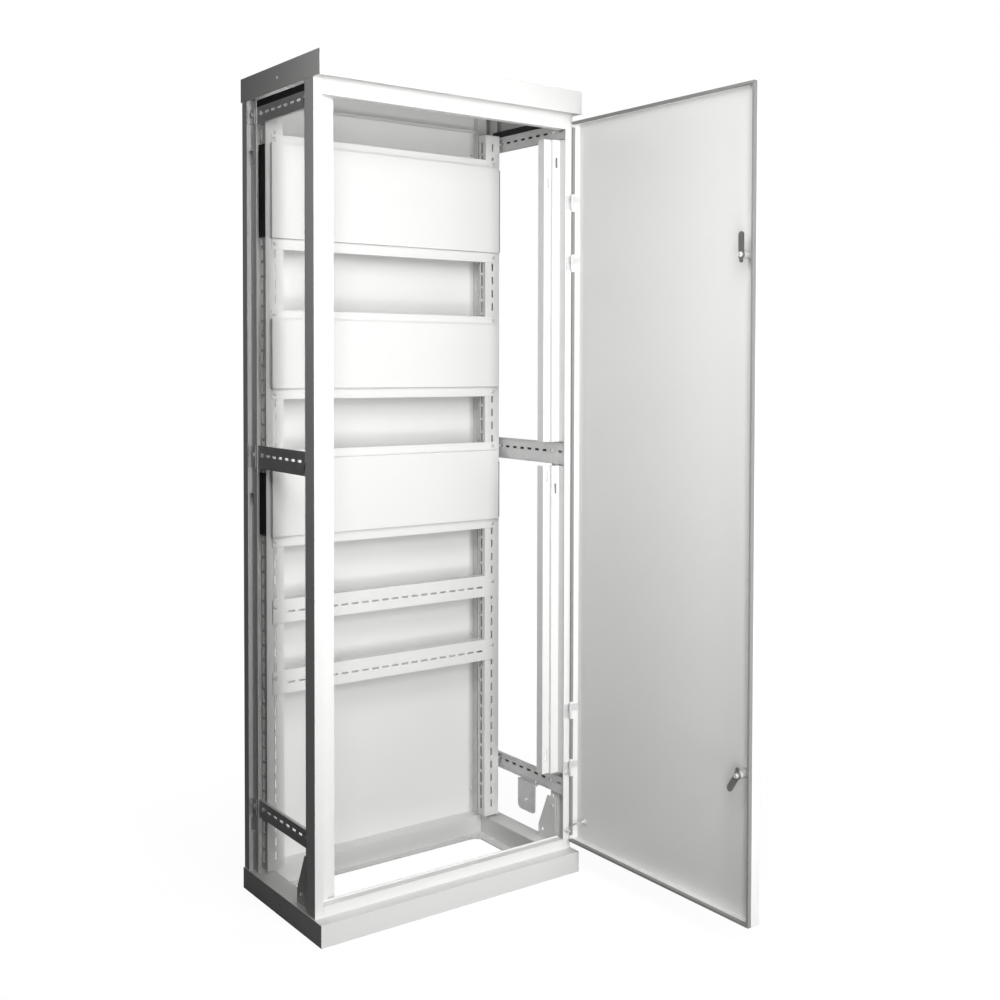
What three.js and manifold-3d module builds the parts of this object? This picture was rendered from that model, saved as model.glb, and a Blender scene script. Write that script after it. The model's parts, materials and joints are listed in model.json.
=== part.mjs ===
// A floor-standing sheet-steel switchboard cabinet with its door open at a right angle.
// Millimetres, +Z up. Seen from the front, which faces -Y, +X is to the right.
// Drawn about the middle of the plinth; the whole cabinet is then moved back so that the
// origin is on the floor, under the middle of the plinth's front beam.
import * as THREE from 'three';
import { mergeVertices } from 'three/addons/utils/BufferGeometryUtils.js';
import Module from 'manifold-3d';

const wasm = await Module();
wasm.setup();

// ---------------------------------------------------------------- driving dimensions
const WIDTH = 700;
const DEPTH = 450;
const HEIGHT = 2000;
const SHEET = 2;              // thickness of every folded sheet
const GAP = 0.3;              // air between two pieces that touch
const PLINTH_HEIGHT = 52;
const PLINTH_WIDTH = 50;
const PLINTH_WALL = 2.5;
const PLINTH_LIP = 25;        // floor flange inside the plinth ring
const CAP_HEIGHT = 57;
const FRAME_RECESS = 38;      // how far the frame's front stands behind the cap's front
const DOOR_HEIGHT = 1852;
const DOOR_BOTTOM = 74;
const DOOR_DEPTH = 23.5;
const DOOR_ANGLE = Math.PI / 2;
const HINGE_HEIGHTS = [1721, 1567, 412, 262];
const LOCKS = [
  { name: 'upper_lock', z: 1552, arm: 0, nose: Math.PI },
  { name: 'lower_lock', z: 408, arm: Math.PI - 0.64, nose: 0 },
];
const SLOT_PITCH = 36;        // perforation of the uprights and side rails
const SLOT_LENGTH = 20;
const SLOT_WIDTH = 5;
const CUTTER = 6;             // how deep the cutters reach, more than any sheet is thick

const HALF_WIDTH = WIDTH / 2;
const FRONT = -DEPTH / 2;
const REAR = DEPTH / 2;
const FRAME_FRONT = FRONT + FRAME_RECESS;
const FRAME_SIDE = HALF_WIDTH - 2.5;      // outer face of the posts
const CAP_BOTTOM = HEIGHT - CAP_HEIGHT;
const FRAME_FOOT = PLINTH_HEIGHT + GAP;
const FRAME_TOP = HEIGHT - SHEET - GAP;

// ---------------------------------------------------------------- finishes
const finish = (color, roughness, metalness) => () =>
  new THREE.MeshStandardMaterial({ color, roughness, metalness });
const paint = finish(0xeceded, 0.5, 0.0);
const panelPaint = finish(0xf2f2f1, 0.45, 0.0);
const zinc = finish(0xb9bcbe, 0.4, 0.9);
const darkMetal = finish(0x5b5c5c, 0.45, 0.85);
const rubber = finish(0x9a9b9a, 0.8, 0.0);
const sheath = finish(0xd8d6ce, 0.6, 0.0);

// ---------------------------------------------------------------- geometry helpers
const cabinet = new THREE.Group();

function add(name, geometry, material, parent = cabinet) {
  const mesh = new THREE.Mesh(geometry, material());
  mesh.name = name;
  parent.add(mesh);
  return mesh;
}

function toSolid(geometry) {
  const bare = geometry.index ? geometry.clone() : geometry;
  bare.deleteAttribute('normal');
  bare.deleteAttribute('uv');
  const merged = mergeVertices(bare, 1e-4);
  return new wasm.Manifold(new wasm.Mesh({
    numProp: 3,
    vertProperties: Float32Array.from(merged.attributes.position.array),
    triVerts: Uint32Array.from(merged.index.array),
  }));
}

function toGeometry(solid) {
  const mesh = solid.getMesh();
  const geometry = new THREE.BufferGeometry();
  geometry.setAttribute('position', new THREE.BufferAttribute(mesh.vertProperties, 3));
  geometry.setIndex(new THREE.BufferAttribute(mesh.triVerts, 1));
  geometry.computeVertexNormals();
  return geometry;
}

function cut(body, cutters) {
  let solid = toSolid(body);
  for (const cutter of cutters) solid = solid.subtract(toSolid(cutter));
  return toGeometry(solid);
}

function join(...pieces) {
  return toGeometry(pieces.map(toSolid).reduce((whole, piece) => whole.add(piece)));
}

function box([x0, x1], [y0, y1], [z0, z1]) {
  const geometry = new THREE.BoxGeometry(Math.abs(x1 - x0), Math.abs(y1 - y0), Math.abs(z1 - z0));
  return geometry.translate((x0 + x1) / 2, (y0 + y1) / 2, (z0 + z1) / 2);
}

const outlineOf = (points) => new THREE.Shape(points.map(([x, y]) => new THREE.Vector2(x, y)));

// A prism standing on Z, and the same outline carried along X (points are y,z) or Y (x,z).
function standing(shape, z0, z1) {
  const settings = { depth: z1 - z0, bevelEnabled: false, curveSegments: 8 };
  return new THREE.ExtrudeGeometry(shape, settings).translate(0, 0, z0);
}

function alongX(shape, x0, x1) {
  const geometry = standing(shape, x0, x1);
  return geometry.applyMatrix4(new THREE.Matrix4().makeBasis(
    new THREE.Vector3(0, 1, 0), new THREE.Vector3(0, 0, 1), new THREE.Vector3(1, 0, 0)));
}

function alongY(shape, y0, y1) {
  const geometry = standing(shape, -y1, -y0);
  return geometry.applyMatrix4(new THREE.Matrix4().makeBasis(
    new THREE.Vector3(1, 0, 0), new THREE.Vector3(0, 0, 1), new THREE.Vector3(0, -1, 0)));
}

// The outline of a folded sheet whose middle line runs through the given corners.
function folded(corners, thickness = SHEET) {
  const points = corners.map(([x, y]) => new THREE.Vector2(x, y));
  const sides = [1, -1].map((side) => points.map((point, i) => {
    const before = i > 0 ? point.clone().sub(points[i - 1]).normalize() : null;
    const after = i < points.length - 1 ? points[i + 1].clone().sub(point).normalize() : null;
    const normals = [before, after].filter(Boolean).map((d) => new THREE.Vector2(-d.y, d.x));
    const mitre = normals.reduce((sum, n) => sum.add(n), new THREE.Vector2()).normalize();
    const reach = (side * thickness) / 2 / mitre.dot(normals[0]);
    return point.clone().addScaledVector(mitre, reach);
  }));
  return new THREE.Shape([...sides[0], ...sides[1].reverse()]);
}

const rod = (radius, z0, z1, segments = 16) =>
  new THREE.CylinderGeometry(radius, radius, z1 - z0, segments)
    .rotateX(Math.PI / 2).translate(0, 0, (z0 + z1) / 2);

const rodAlongY = (radius, y0, y1, x, z, segments = 24) =>
  new THREE.CylinderGeometry(radius, radius, y1 - y0, segments).translate(x, (y0 + y1) / 2, z);

// Evenly spaced positions that fill a span and are centred in it.
function spread(from, to, pitch) {
  const count = Math.floor((to - from) / pitch) + 1;
  const start = (from + to - (count - 1) * pitch) / 2;
  return Array.from({ length: count }, (_, i) => start + i * pitch);
}

const about = (middle, size) => [middle - size / 2, middle + size / 2];

// ---------------------------------------------------------------- plinth
// Four box beams with mitred ends, each with a flange on the floor inside the ring.
function plinthBeam(length) {
  const profile = outlineOf([
    [0, 0], [PLINTH_WIDTH + PLINTH_LIP, 0], [PLINTH_WIDTH + PLINTH_LIP, PLINTH_WALL],
    [PLINTH_WIDTH, PLINTH_WALL], [PLINTH_WIDTH, PLINTH_HEIGHT], [0, PLINTH_HEIGHT],
  ]);
  const [inner, outer] = [PLINTH_WALL, PLINTH_WIDTH - PLINTH_WALL];
  const roof = PLINTH_HEIGHT - PLINTH_WALL;
  profile.holes.push(outlineOf([[inner, inner], [inner, roof], [outer, roof], [outer, inner]]));
  const geometry = alongX(profile, -length / 2, length / 2);
  const place = geometry.attributes.position;
  for (let i = 0; i < place.count; i += 1) {
    const inward = place.getY(i) + GAP / 2;
    place.setX(i, Math.sign(place.getX(i)) * (length / 2 - inward));
  }
  return geometry;
}

// Cabinets in a row are bolted together through a hole in each side of the plinth and the cap.
const ROW_HOLE = { radius: 4.5, y: 5, plinthZ: 23, capZ: 1971 };
function plinth() {
  for (const [name, turn] of [['plinth_front', 0], ['plinth_rear', Math.PI]]) {
    add(name, plinthBeam(WIDTH).translate(0, FRONT, 0).rotateZ(turn), paint);
  }
  for (const [name, side] of [['plinth_left', -1], ['plinth_right', 1]]) {
    const { radius, y, plinthZ } = ROW_HOLE;
    const beam = cut(plinthBeam(DEPTH), [rodAlongY(radius, -1, PLINTH_WALL + 1, side * y, plinthZ, 12)]);
    add(name, beam.translate(0, -HALF_WIDTH, 0).rotateZ((side * Math.PI) / 2), paint);
  }
}

// Triangular floor plates, each with a hole for a floor bolt, brace the ring's corners.
function plinthGussets() {
  const [leg, thickness, boltInset, boltRadius] = [74, 3, 22, 6];
  for (const [name, sx, sy] of [
    ['gusset_front_left', -1, -1], ['gusset_front_right', 1, -1],
    ['gusset_rear_left', -1, 1], ['gusset_rear_right', 1, 1],
  ]) {
    const x = sx * (HALF_WIDTH - PLINTH_WIDTH - GAP);
    const y = sy * (REAR - PLINTH_WIDTH - GAP);
    const plate = outlineOf([[x, y], [x - sx * leg, y], [x, y - sy * leg]]);
    plate.holes.push(new THREE.Path().absarc(
      x - sx * boltInset, y - sy * boltInset, boltRadius, 0, 2 * Math.PI));
    add(name, standing(plate, PLINTH_WALL + GAP, PLINTH_WALL + GAP + thickness), paint);
  }
}

// ---------------------------------------------------------------- corner posts
// Middle lines of the folded profiles, drawn for the right-hand side, from the slotted flange
// in the side opening, round the outer corner, to the last fold inside the cabinet. On the
// hinge side the front post's stepped part is notched where a side rail passes it.
const HALF_SHEET = SHEET / 2;
const POST_SIDE = FRAME_SIDE - HALF_SHEET;
const SIDE_FLANGE = FRAME_SIDE - 10.5;    // slotted flange set in from the post's outer face
const LATCH_WALL = FRAME_SIDE - 19.5;     // wall behind which the lock's nose catches
const LATCH_SLOT = [FRAME_FRONT + 2.2, FRAME_FRONT + 10];
const STEP_WALL = FRAME_SIDE - 41.5;
const POST_INNER = HALF_WIDTH - 64;
const FRONT_FACE = FRAME_FRONT + HALF_SHEET;
const FIRST_STEP = FRAME_FRONT + 27;      // where the door's seal meets the frame
const SECOND_STEP = FRAME_FRONT + 36;
const FRONT_FLANGE = [FRAME_FRONT + 70, FRAME_FRONT + 44];
const frontPostLine = [
  [SIDE_FLANGE, FRONT_FLANGE[0]], [SIDE_FLANGE, FRONT_FLANGE[1]], [POST_SIDE, FRONT_FLANGE[1]],
  [POST_SIDE, FRONT_FACE], [LATCH_WALL, FRONT_FACE], [LATCH_WALL, FIRST_STEP],
  [STEP_WALL, FIRST_STEP], [STEP_WALL, SECOND_STEP],
  [POST_INNER, SECOND_STEP], [POST_INNER, SECOND_STEP + 25],
];
const REAR_FACE = REAR - 4;
const REAR_FLANGE = [160, 195];
const REAR_RETURN = 197;
const REAR_WALL = 301;
const rearPostLine = [
  [SIDE_FLANGE, REAR_FLANGE[0]], [SIDE_FLANGE, REAR_FLANGE[1]], [POST_SIDE, REAR_FLANGE[1]],
  [POST_SIDE, REAR_FACE], [REAR_WALL, REAR_FACE], [REAR_WALL, REAR_RETURN],
  [REAR_WALL + 24, REAR_RETURN],
];

const RAIL_LEVELS = [['top', 1885, 1925], ['middle', 1050, 1106], ['bottom', 192, 234]];
const NOTCHES = [
  [RAIL_LEVELS[0][1] - 3, FRAME_TOP + 1],
  [RAIL_LEVELS[1][1] - 3, RAIL_LEVELS[1][2] + 3],
  [FRAME_FOOT - 1, RAIL_LEVELS[2][2] + 14],
];
const FLANGE_SLOT_HEIGHTS = [1808, 972, 166];
const FIRST_STEP_SLOT_HEIGHTS = [1824, 988, 180];
const SECOND_STEP_SLOT_HEIGHTS = [1772, 1020, 295];
function posts() {
  const slot = (x, y, z) => box(about(x, CUTTER), about(y, CUTTER), about(z, 26));
  for (const [side, word] of [[-1, 'left'], [1, 'right']]) {
    const post = (line) => standing(
      folded(line.map(([x, y]) => [side * x, y])), FRAME_FOOT, FRAME_TOP);
    const front = [
      ...FLANGE_SLOT_HEIGHTS.map((z) => slot(side * SIDE_FLANGE, FRAME_FRONT + 60, z)),
    ];
    if (side < 0) {
      for (const lock of LOCKS) {
        front.push(box(about(-LATCH_WALL, CUTTER), LATCH_SLOT, about(lock.z, 44)));
      }
    } else {
      const [first, second] = [(LATCH_WALL + STEP_WALL) / 2, (STEP_WALL + POST_INNER) / 2];
      front.push(...FIRST_STEP_SLOT_HEIGHTS.map((z) => slot(first, FIRST_STEP, z)));
      front.push(...SECOND_STEP_SLOT_HEIGHTS.map((z) => slot(second, SECOND_STEP, z)));
      const steppedPart = [POST_INNER - 3, LATCH_WALL + 1.5];
      front.push(...NOTCHES.map((heights) =>
        box(steppedPart, [FRAME_FRONT + SHEET, SECOND_STEP + 27], heights)));
    }
    add(`post_front_${word}`, cut(post(frontPostLine), front), paint);
    // On the rear post each slot runs round the fold into the step beside it.
    const [from, to] = [side * (SIDE_FLANGE - 3), side * (SIDE_FLANGE + 5)];
    const corner = FLANGE_SLOT_HEIGHTS.map((z) =>
      box([from, to], [REAR_FLANGE[1] - 14, REAR_FLANGE[1] + 3], about(z, 32)));
    add(`post_rear_${word}`, cut(post(rearPostLine), corner), paint);
  }
}

// ---------------------------------------------------------------- front and rear frame rails
const RAIL_END = LATCH_WALL - HALF_SHEET - GAP;
const REAR_RAIL_END = REAR_WALL - HALF_SHEET - GAP;
const TOP_FLANGE = FRAME_TOP - HALF_SHEET;
function frontAndRearRails() {
  const back = FRONT_FACE + 23;
  const headerFoot = 1909;
  const header = [[back, headerFoot], [FRONT_FACE, headerFoot], [FRONT_FACE, TOP_FLANGE], [back, TOP_FLANGE]];
  add('front_header', alongX(folded(header), -RAIL_END, RAIL_END), paint);
  const sillTop = 77;
  const sill = [[FRONT_FACE, FRAME_FOOT], [FRONT_FACE, sillTop], [back, sillTop], [back, sillTop + 5]];
  add('front_sill', alongX(folded(sill), -RAIL_END, RAIL_END), paint);
  const rearFace = REAR_FACE - 3;
  const rearFront = rearFace - 28;
  const rearFoot = CAP_BOTTOM + 2;
  const rear = [[rearFront, rearFoot], [rearFace, rearFoot], [rearFace, TOP_FLANGE], [rearFront, TOP_FLANGE]];
  add('rear_header', alongX(folded(rear), -REAR_RAIL_END, REAR_RAIL_END), paint);
  add('back_panel', box([-REAR_RAIL_END, REAR_RAIL_END], [REAR_FACE - 2, REAR_FACE - 0.5],
    [FRAME_FOOT, CAP_BOTTOM]), panelPaint);
}

function roofCap() {
  const shell = box([-HALF_WIDTH, HALF_WIDTH], [FRONT, REAR], [CAP_BOTTOM, HEIGHT]);
  const inside = box([-HALF_WIDTH + SHEET, HALF_WIDTH - SHEET], [FRONT + SHEET, REAR - SHEET],
    [CAP_BOTTOM - 1, HEIGHT - SHEET]);
  const { radius, y, capZ } = ROW_HOLE;
  const holes = [-1, 1].map((side) => new THREE.CylinderGeometry(radius, radius, CUTTER, 12)
    .rotateZ(Math.PI / 2).translate(side * HALF_WIDTH, y, capZ));
  add('roof_cap', cut(shell, [inside, ...holes]), paint);
}

// ---------------------------------------------------------------- side rails and uprights
const RAIL_WEB = SIDE_FLANGE - SHEET - GAP;         // middle of a side rail's web
const RAIL_LIP = RAIL_WEB - 6.2;
const RAIL_REAR = 190;
function sideRails() {
  for (const [side, word, front] of [[-1, 'left', FRAME_FRONT + 47], [1, 'right', FRAME_FRONT + 4]]) {
    for (const [level, z0, z1] of RAIL_LEVELS) {
      const [foot, head] = [z0 + HALF_SHEET, z1 - HALF_SHEET];
      const profile = [[RAIL_LIP, foot], [RAIL_WEB, foot], [RAIL_WEB, head], [RAIL_LIP, head]];
      const slotZ = z0 + 0.58 * (z1 - z0);
      const slots = spread(front + 18, RAIL_REAR - 14, SLOT_PITCH).map((y) =>
        box(about(side * RAIL_WEB, CUTTER), about(y, SLOT_LENGTH), about(slotZ, SLOT_WIDTH + 1)));
      const rail = alongY(folded(profile.map(([x, z]) => [side * x, z])), front, RAIL_REAR);
      add(`side_rail_${level}_${word}`, cut(rail, slots), zinc);
    }
  }
}

// Channels open to the rear, with a row of slots in the face and a row of wider windows in
// each wall.
const UPRIGHT_FRONT = 130;
const UPRIGHT_DEPTH = 35;
const UPRIGHT_INNER = 284;
const UPRIGHT_OUTER = 327.5;
const UPRIGHT_SPAN = [62, 1928];
const WINDOW = { y: UPRIGHT_FRONT + 20, width: 12, length: 29 };
function uprights() {
  const [z0, z1] = UPRIGHT_SPAN;
  const [face, back] = [UPRIGHT_FRONT + HALF_SHEET, UPRIGHT_FRONT + UPRIGHT_DEPTH];
  const walls = [UPRIGHT_INNER + HALF_SHEET, UPRIGHT_OUTER - HALF_SHEET];
  for (const [side, word] of [[-1, 'left'], [1, 'right']]) {
    const [inner, outer] = walls.map((x) => side * x);
    const profile = folded([[inner, back], [inner, face], [outer, face], [outer, back]]);
    const openings = spread(z0 + 20, z1 - 20, SLOT_PITCH).flatMap((z) => [
      box(about((inner + outer) / 2, SLOT_WIDTH), about(face, CUTTER), about(z, SLOT_LENGTH)),
      ...[inner, outer].map((x) =>
        box(about(x, CUTTER), about(WINDOW.y, WINDOW.width), about(z, WINDOW.length))),
    ]);
    add(`upright_${word}`, cut(standing(profile, z0, z1), openings), paint);
  }
}

// ---------------------------------------------------------------- cover panels and cross rails
// Each cover is a shallow pan that hides the ends of two cross rails, one at its top edge and
// one at its foot; the lower one has a shelf that stiffens it.
const COVERS = [['upper', 1610, 1838], ['middle', 1246, 1414], ['lower', 885, 1072]];
const COVER_HALF = 317;
const COVER_FRONT = 116;
const COVER_SHEET = 1.5;
const CROSS_HALF = 313;
const CROSS_HEIGHT = 26;
const CROSS_FACE = [UPRIGHT_FRONT - GAP - SHEET, UPRIGHT_FRONT - GAP];
const BETWEEN_UPRIGHTS = UPRIGHT_INNER - 1;
const SHELF_BACK = 152;
const RAIL_SCREW = { x: 306, radius: 3 };

function railScrewHoles(z) {
  return [-1, 1].map((side) => rodAlongY(
    RAIL_SCREW.radius, CROSS_FACE[0] - 2, CROSS_FACE[1] + 2, side * RAIL_SCREW.x, z, 12));
}

function coverPanels() {
  const coverBack = CROSS_FACE[0] - 0.7;
  for (const [level, z0, z1] of COVERS) {
    const pan = box([-COVER_HALF, COVER_HALF], [COVER_FRONT, coverBack], [z0, z1]);
    const inside = box([-COVER_HALF + COVER_SHEET, COVER_HALF - COVER_SHEET],
      [COVER_FRONT + COVER_SHEET, UPRIGHT_FRONT], [z0 + COVER_SHEET, z1 - COVER_SHEET]);
    add(`cover_panel_${level}`, cut(pan, [inside]), panelPaint);

    const foot = z0 - 0.5 - CROSS_HEIGHT;
    const face = box([-CROSS_HALF, CROSS_HALF], CROSS_FACE, [foot, foot + CROSS_HEIGHT]);
    const shelf = box([-BETWEEN_UPRIGHTS, BETWEEN_UPRIGHTS], [CROSS_FACE[0], SHELF_BACK],
      [foot, foot + SHEET]);
    add(`cross_rail_${level}_foot`,
      cut(join(face, shelf), railScrewHoles(foot + CROSS_HEIGHT / 2)), paint);

    const head = z1 - 4;
    const strip = box([-CROSS_HALF, CROSS_HALF], CROSS_FACE, [head, head + CROSS_HEIGHT]);
    add(`cross_rail_${level}_head`, cut(strip, railScrewHoles(head + CROSS_HEIGHT / 2 + 2)), paint);
  }
}

const MOUNTING_RAILS = [['upper', 671], ['lower', 496]];
function mountingRails() {
  const [height, back, face] = [57, SHELF_BACK + 6, CROSS_FACE[0] + HALF_SHEET];
  const slot = { pitch: 28, length: 18, z: 26 };
  for (const [level, z0] of MOUNTING_RAILS) {
    const [foot, head] = [z0 + HALF_SHEET, z0 + height - HALF_SHEET];
    const channel = alongX(folded([[back, foot], [face, foot], [face, head], [back, head]]),
      -BETWEEN_UPRIGHTS, BETWEEN_UPRIGHTS);
    const front = box([-CROSS_HALF, CROSS_HALF], CROSS_FACE, [z0, z0 + height]);
    const slots = spread(-266, 266, slot.pitch).map((x) =>
      box(about(x, slot.length), about(face, CUTTER), about(z0 + slot.z, SLOT_WIDTH)));
    add(`mounting_rail_${level}`,
      cut(join(channel, front), [...slots, ...railScrewHoles(z0 + 40)]), paint);
  }
}

// ---------------------------------------------------------------- small brackets
// Plates behind the front posts' slotted flanges, bolted down to the plinth.
function footPlates() {
  const outer = SIDE_FLANGE - HALF_SHEET - GAP;
  const [front, back, narrow] = [-140, -62, -104];
  const [shoulder, top] = [84, 172];
  const plate = outlineOf([
    [front, FRAME_FOOT], [back, FRAME_FOOT], [back, shoulder], [narrow, top], [front, top]]);
  plate.holes.push(new THREE.Path().absarc(back - 20, 76, 4.5, 0, 2 * Math.PI));
  add('foot_plate_left', alongX(plate, -outer, SHEET - outer), paint);
  add('foot_plate_right', alongX(plate, outer - SHEET, outer), paint);
}

// A plate that hangs from the lower right side rail and carries the earthing bolt.
function earthBracket() {
  const [y0, y1, top, foot, round] = [-66, 16, RAIL_LEVELS[2][1] - GAP, 112, 14];
  const [inner, outer, thickness] = [319, 335, 3];
  const plate = new THREE.Shape();
  plate.moveTo(y0, top);
  plate.lineTo(y0, foot + round);
  plate.absarc(y0 + round, foot + round, round, Math.PI, 1.5 * Math.PI);
  plate.absarc(y1 - round, foot + round, round, 1.5 * Math.PI, 2 * Math.PI);
  plate.lineTo(y1, top);
  plate.holes.push(new THREE.Path().absarc((y0 + y1) / 2, foot + 30, 5, 0, 2 * Math.PI));
  add('earth_bracket', join(alongX(plate, inner, inner + thickness),
    box([inner, outer], [y0, y1], [top - thickness, top])), zinc);
}

// ---------------------------------------------------------------- door
// The door is drawn shut, then turned about the hinge pins to where it stands open.
const PIVOT = new THREE.Vector2(HALF_WIDTH - 8, FRAME_FRONT - 8);
const DOOR_EDGE = HALF_WIDTH - 3;
const SKIN = [FRONT + 2, FRONT + 2 + SHEET];
const DOOR_LIP = FRONT + 2 + DOOR_DEPTH;            // rear edge of the door's flanges
const DOOR_TOP = DOOR_BOTTOM + DOOR_HEIGHT;
const LOCK_X = -(HALF_WIDTH - 32.5);
const LOCK_HOLE = 9;

const hinged = new THREE.Group();
hinged.position.set(PIVOT.x, PIVOT.y, 0);
hinged.rotation.z = DOOR_ANGLE;
const door = new THREE.Group();
door.position.set(-PIVOT.x, -PIVOT.y, 0);
hinged.add(door);
cabinet.add(hinged);

const EARTH_STUD = { x: 308, z: 128, radius: 3, length: 13 };
function doorShell() {
  const pan = box([-DOOR_EDGE, DOOR_EDGE], [SKIN[0], DOOR_LIP], [DOOR_BOTTOM, DOOR_TOP]);
  const inside = box([-DOOR_EDGE + SHEET, DOOR_EDGE - SHEET], [SKIN[1], DOOR_LIP + 1],
    [DOOR_BOTTOM + SHEET, DOOR_TOP - SHEET]);
  const holes = LOCKS.map((lock) => rodAlongY(LOCK_HOLE, SKIN[0] - 1, SKIN[1] + 1, LOCK_X, lock.z));
  const { x, z, radius, length } = EARTH_STUD;    // welded to the door's inner face
  const stud = rodAlongY(radius, SKIN[1] - 1, SKIN[1] + length, x, z, 12);
  add('door_shell', join(cut(pan, [inside, ...holes]), stud), panelPaint, door);
}

// A foam strip on the flange edges at the top, the free side and the bottom.
function doorSeal() {
  const [width, thickness, end] = [6, 9, 338];
  const [free, top, foot] = [-DOOR_EDGE, DOOR_TOP, DOOR_BOTTOM];
  const strip = outlineOf([
    [end, top], [free, top], [free, foot], [end, foot],
    [end, foot + width], [free + width, foot + width], [free + width, top - width], [end, top - width]]);
  add('door_seal', alongY(strip, DOOR_LIP + GAP, DOOR_LIP + GAP + thickness), rubber, door);
}

// ---------------------------------------------------------------- quarter-turn locks
const CAM_DEPTH = [FRAME_FRONT + 3, FRAME_FRONT + 6];
const BARREL_END = FRAME_FRONT + 2;
function leverOutline(reach, halfWidth, angle) {
  const tip = new THREE.Vector2(Math.sin(angle), Math.cos(angle));
  const across = new THREE.Vector2(tip.y, -tip.x).multiplyScalar(halfWidth);
  const end = tip.clone().multiplyScalar(reach - halfWidth);
  const lever = new THREE.Shape([across.clone(), across.clone().negate(), end.clone().sub(across)]);
  const start = Math.atan2(-across.y, -across.x);
  lever.absarc(end.x, end.y, halfWidth, start, start - Math.PI, true);
  return lever;
}

function locks() {
  const [rosetteRadius, barrelRadius, boreRadius, rotorRadius, shankRadius] = [13, 8.5, 5.5, 5, 3.4];
  for (const lock of LOCKS) {
    const at = (geometry) => geometry.translate(LOCK_X, 0, lock.z);
    const round = (radius, y0, y1, segments = 24) => rodAlongY(radius, y0, y1, 0, 0, segments);
    const rosette = round(rosetteRadius, FRONT, SKIN[0] - GAP);
    const barrel = round(barrelRadius, SKIN[0] - 1, BARREL_END);
    const bore = round(boreRadius, FRONT - 1, BARREL_END + 1);
    add(`${lock.name}_body`, at(cut(join(rosette, barrel), [bore])), zinc, door);

    const nut = round(rosetteRadius, SKIN[1] + GAP, SKIN[1] + 6, 6);
    add(`${lock.name}_nut`, at(cut(nut, [round(LOCK_HOLE, SKIN[1], SKIN[1] + 7)])), zinc, door);

    const rotor = join(round(rotorRadius, FRONT + GAP, BARREL_END + 0.4),
      round(shankRadius, BARREL_END, CAM_DEPTH[1] + 3));
    const keySlot = box([-1.2, 1.2], [FRONT - 1, FRONT + 6], [-4, 4]);
    add(`${lock.name}_rotor`, at(cut(rotor, [keySlot])), darkMetal, door);

    const plate = (shape) => alongY(shape, ...CAM_DEPTH);
    const cam = join(plate(leverOutline(50, 8, lock.arm)), plate(leverOutline(18, 5, lock.nose)),
      round(10, ...CAM_DEPTH));
    const camHole = round(shankRadius + 0.4, CAM_DEPTH[0] - 1, CAM_DEPTH[1] + 1);
    add(`${lock.name}_cam`, at(cut(cam, [camHole])), darkMetal, door);
  }
}

// ---------------------------------------------------------------- hinges
// Lift-off hinges: the pin stands in the frame half, and the door half slides down over it.
function hinges() {
  const [reach, knuckle, pin, bore, play] = [17, 4, 1.9, 2.3, 0.2];
  HINGE_HEIGHTS.forEach((z, i) => {
    const atPin = (geometry) => geometry.translate(PIVOT.x, PIVOT.y, z);
    const toFrame = FRAME_FRONT - GAP - PIVOT.y;
    const base = box([-12, -1], [toFrame - SHEET, toFrame], [-reach, reach]);
    const web = box([-3.5, -1], [0, toFrame - HALF_SHEET], [-reach, -play]);
    const lower = rod(knuckle, -reach, -play);
    add(`hinge_${i + 1}_frame_half`,
      atPin(join(base, web, lower, rod(pin, -reach - 1, reach + 2))), zinc);

    const inner = DOOR_EDGE - SHEET - GAP - PIVOT.x;
    const plate = box([inner - 2, inner], [-24, 0], [play, reach]);
    const upper = rod(knuckle, play, reach);
    add(`hinge_${i + 1}_door_half`,
      atPin(cut(join(plate, upper), [rod(bore, -reach, reach + 1)])), zinc, door);
  });
}

// ---------------------------------------------------------------- earthing of the door
function bondingLead() {
  const { x, z } = EARTH_STUD;
  const fromStud = [[4, 9, 0], [14, 11, 6], [26, 15, -2], [33, 20, -20], [34, 23, -34]];
  const route = new THREE.CatmullRomCurve3(fromStud.map(([right, back, up]) =>
    new THREE.Vector3(x + right, SKIN[1] + back, z + up)));
  const section = new THREE.Shape().absarc(0, 0, 2.2, 0, 2 * Math.PI);
  const lead = new THREE.ExtrudeGeometry(section, { steps: 16, curveSegments: 4, extrudePath: route });
  add('bonding_lead', lead, sheath, door);
}

plinth();
plinthGussets();
posts();
frontAndRearRails();
roofCap();
sideRails();
uprights();
coverPanels();
mountingRails();
footPlates();
earthBracket();
doorShell();
doorSeal();
locks();
hinges();
bondingLead();

cabinet.position.y = -(FRONT + PLINTH_WIDTH / 2);

export default cabinet;
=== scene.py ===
# %% [markdown]
# # A sheet-steel switchboard cabinet with its door open
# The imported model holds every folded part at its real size. Nothing here moves it: this file
# gives the parts their paint, plating and rounded edges, adds the small hardware that holds
# them together, and sets up a pale studio. Everything is in metres, with the front facing -Y.

import json
import math

import bmesh
import bpy
from mathutils import Matrix, Vector


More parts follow.
